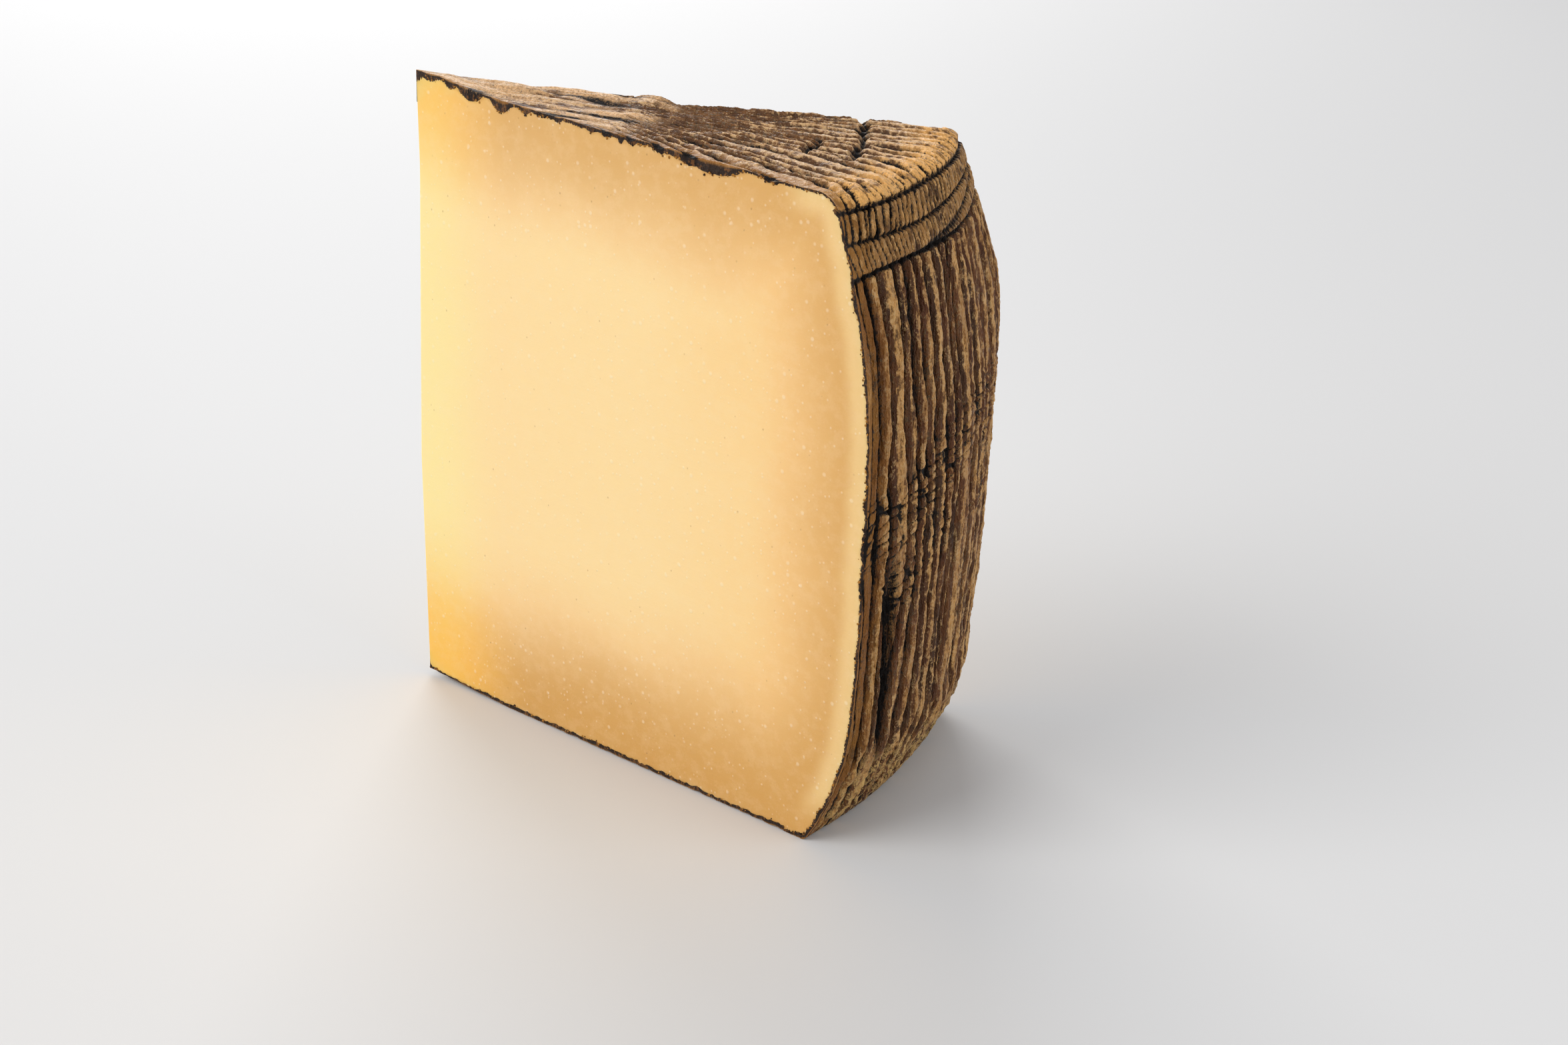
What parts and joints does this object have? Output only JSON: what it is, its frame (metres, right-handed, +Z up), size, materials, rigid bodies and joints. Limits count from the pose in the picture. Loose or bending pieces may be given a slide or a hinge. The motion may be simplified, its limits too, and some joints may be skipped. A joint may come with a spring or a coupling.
{
  "type": "pecorino cheese wedge",
  "caption": "Tall narrow wedge of aged sheep's cheese with flat cut faces and a dark ribbed rind moulded by a rush basket, standing on its base.",
  "frame": {"origin": "on the base plane, under the centre of the bounding box", "axes": "+Z up; the front knife cut faces -Y, the wedge's tip points to -X, and the rounded rind wall faces +X"},
  "size_m": [0.1424, 0.079, 0.1508],
  "materials": {
    "cheese_paste": "smooth knife-cut paste, cream to amber, faintly translucent with small pale crystals",
    "basket_rind": "dry brown ribbed rind, near black in its grooves, tan on its ridges, amber at its edges"
  },
  "bodies": {
    "root": {"cheese_wedge": "cheese_paste"}
  },
  "joints": []
}
